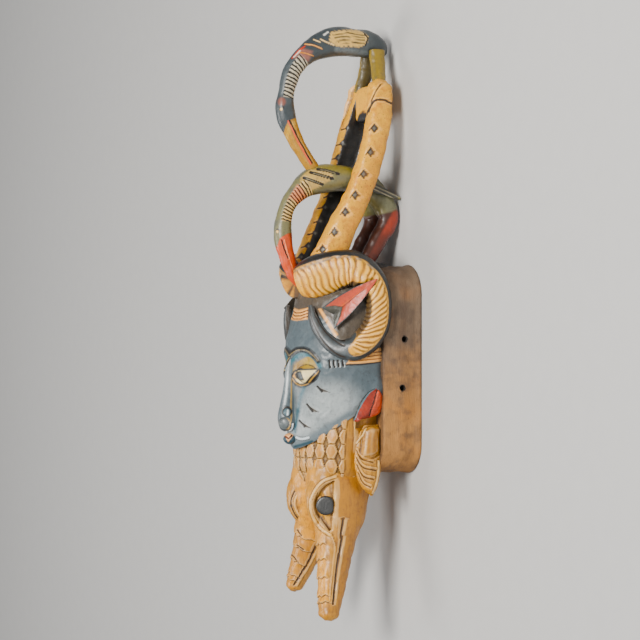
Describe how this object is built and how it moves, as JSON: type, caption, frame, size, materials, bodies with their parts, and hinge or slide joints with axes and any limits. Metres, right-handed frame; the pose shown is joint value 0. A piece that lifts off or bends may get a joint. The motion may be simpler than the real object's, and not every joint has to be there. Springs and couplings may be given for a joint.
{
  "type": "carved mask",
  "caption": "Carved and painted wooden mask with curled and upright horns, stacked long-beaked birds, long-snouted heads below the chin and a raw wooden rim to be worn or laid down on.",
  "frame": {"origin": "middle of the mask's box, at the plane of the rim's back that it lies on", "axes": "+Z out of the rim's plane, the way the face looks; +Y from the chin to the horns; +X to the mask's own left"},
  "size_m": [0.1506, 0.573, 0.1252],
  "materials": {
    "mask": "painted and waxed"
  },
  "bodies": {
    "root": {"mask": "mask"}
  },
  "joints": []
}
